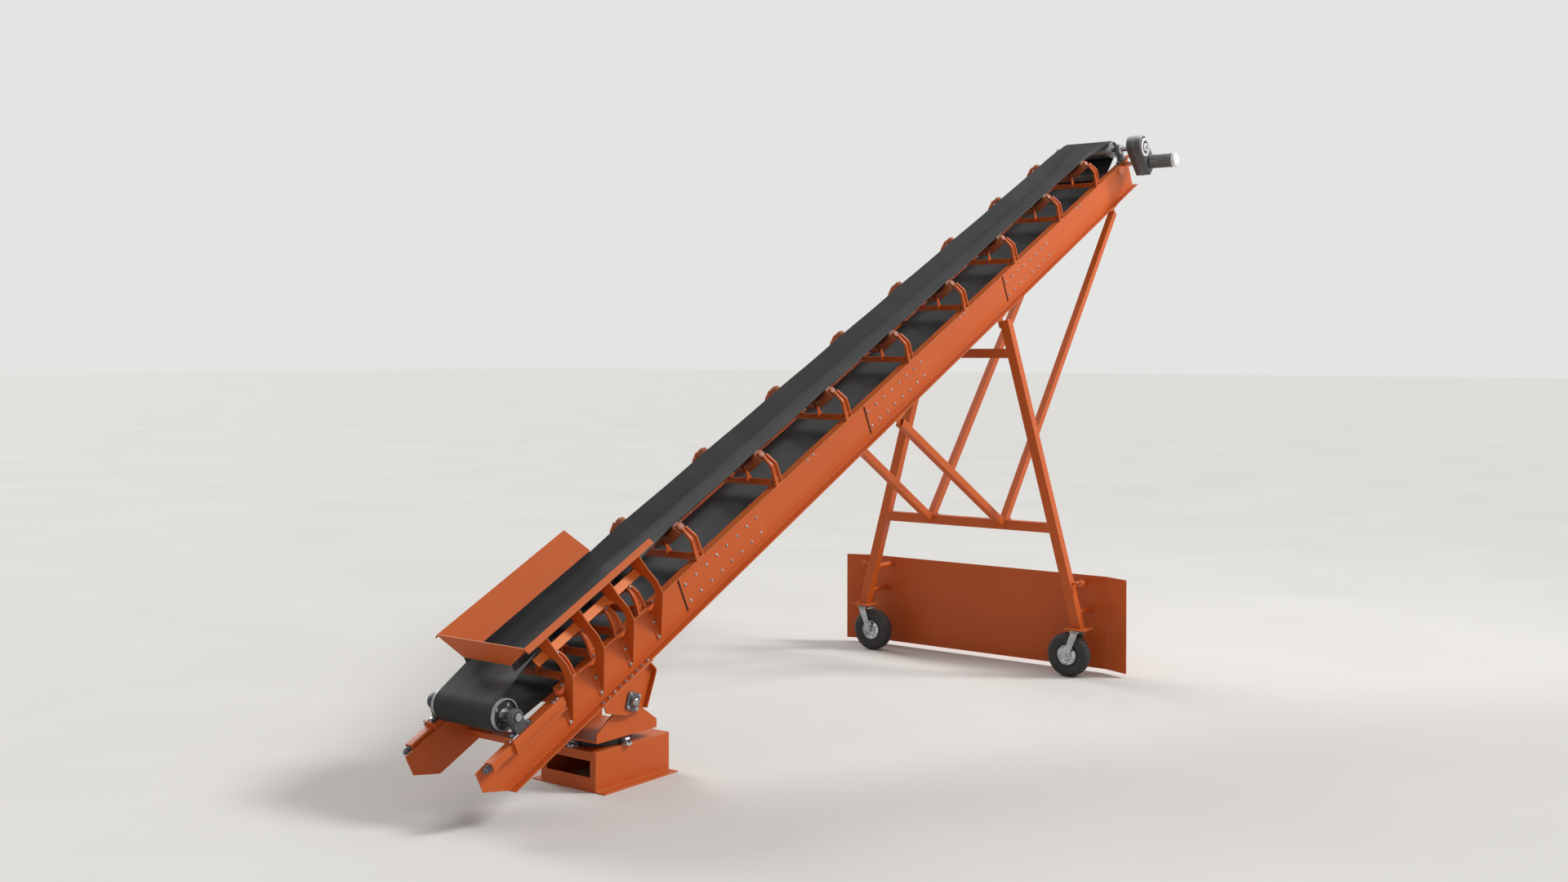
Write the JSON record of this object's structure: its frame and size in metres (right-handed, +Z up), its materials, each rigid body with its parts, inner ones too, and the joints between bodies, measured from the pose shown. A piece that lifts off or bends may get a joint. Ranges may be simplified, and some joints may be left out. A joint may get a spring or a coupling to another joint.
{
  "type": "radial stacker conveyor",
  "caption": "Inclined troughed belt conveyor with a tail hopper, on a slewing tail base and a braced caster undercarriage.",
  "frame": {"origin": "on the ground, on the slewing axis under the tail", "axes": "+X towards the discharge head, +Y to the machine's left seen that way, +Z up"},
  "size_m": [11.0646, 3.57, 6.1515],
  "materials": {
    "orange_paint": "satin",
    "belt_rubber": "matt",
    "tyre_rubber": "matt",
    "drive_grey": "satin",
    "bearing_iron": "painted grey",
    "zinc": "zinc plated",
    "dark_steel": "satin",
    "shaft_steel": "ground"
  },
  "bodies": {
    "base": {"base_frame": "orange_paint", "slew_ring_base": "dark_steel"},
    "turntable": {"turntable": "orange_paint", "slew_ring_table": "dark_steel", "hinge_shaft": "shaft_steel"},
    "boom": {"belt": "belt_rubber", "bend_roll": "dark_steel", "brace_head_left": "orange_paint", "brace_head_right": "orange_paint", "brace_tail_left": "orange_paint", "brace_tail_right": "orange_paint", "cross_members": "orange_paint", "drive_bracket": "orange_paint", "drive_motor": "drive_grey", "edge_bars": "orange_paint", "gearbox": "drive_grey", "guard_arms": "orange_paint", "guard_plate": "orange_paint", "guard_wing_left": "orange_paint", "guard_wing_right": "orange_paint", "hanger_left": "orange_paint", "hanger_right": "orange_paint", "head_bearings": "bearing_iron", "head_pulley": "dark_steel", "hinge_bearing_left": "bearing_iron", "hinge_bearing_right": "bearing_iron", "hopper_end": "orange_paint", "hopper_gussets_left": "orange_paint", "hopper_gussets_right": "orange_paint", "hopper_skirts": "belt_rubber", "hopper_wall_left": "orange_paint", "hopper_wall_right": "orange_paint", "idler_frames": "orange_paint", "idler_rolls": "orange_paint", "impact_frames": "orange_paint", "impact_rolls": "orange_paint", "leg_left": "orange_paint", "leg_right": "orange_paint", "lower_beam": "orange_paint", "rail_left": "orange_paint", "rail_lugs": "orange_paint", "rail_right": "orange_paint", "return_rolls": "orange_paint", "splice_plates_left": "orange_paint", "splice_plates_right": "orange_paint", "tail_pulley": "dark_steel", "takeup_sleeve_left": "orange_paint", "takeup_sleeve_right": "orange_paint", "takeup_tube_left": "orange_paint", "takeup_tube_right": "orange_paint", "upper_beam": "orange_paint"},
    "caster_left": {"caster_fork_left": "zinc"},
    "wheel_left": {"tyre_left": "tyre_rubber", "rim_left": "zinc"},
    "caster_right": {"caster_fork_right": "zinc"},
    "wheel_right": {"tyre_right": "tyre_rubber", "rim_right": "zinc"}
  },
  "joints": [
    {"name": "slew", "type": "hinge", "parent": "base", "child": "turntable", "pos_m": [0, 0, 0.314], "axis": [0, 0, 1], "range_deg": [-90, 90]},
    {"name": "boom_hinge", "type": "hinge", "parent": "turntable", "child": "boom", "pos_m": [0, 0, 0.665], "axis": [0, -1, 0], "range_deg": [-3, 5]},
    {"name": "swivel_left", "type": "hinge", "parent": "boom", "child": "caster_left", "pos_m": [5.897, 1.357, 0.509], "axis": [0, 0, 1], "continuous": true},
    {"name": "wheel_spin_left", "type": "hinge", "parent": "caster_left", "child": "wheel_left", "pos_m": [5.897, 1.247, 0.231], "axis": [1, 0, 0], "continuous": true},
    {"name": "swivel_right", "type": "hinge", "parent": "boom", "child": "caster_right", "pos_m": [5.897, -1.357, 0.509], "axis": [0, 0, 1], "continuous": true},
    {"name": "wheel_spin_right", "type": "hinge", "parent": "caster_right", "child": "wheel_right", "pos_m": [5.897, -1.247, 0.231], "axis": [1, 0, 0], "continuous": true}
  ]
}
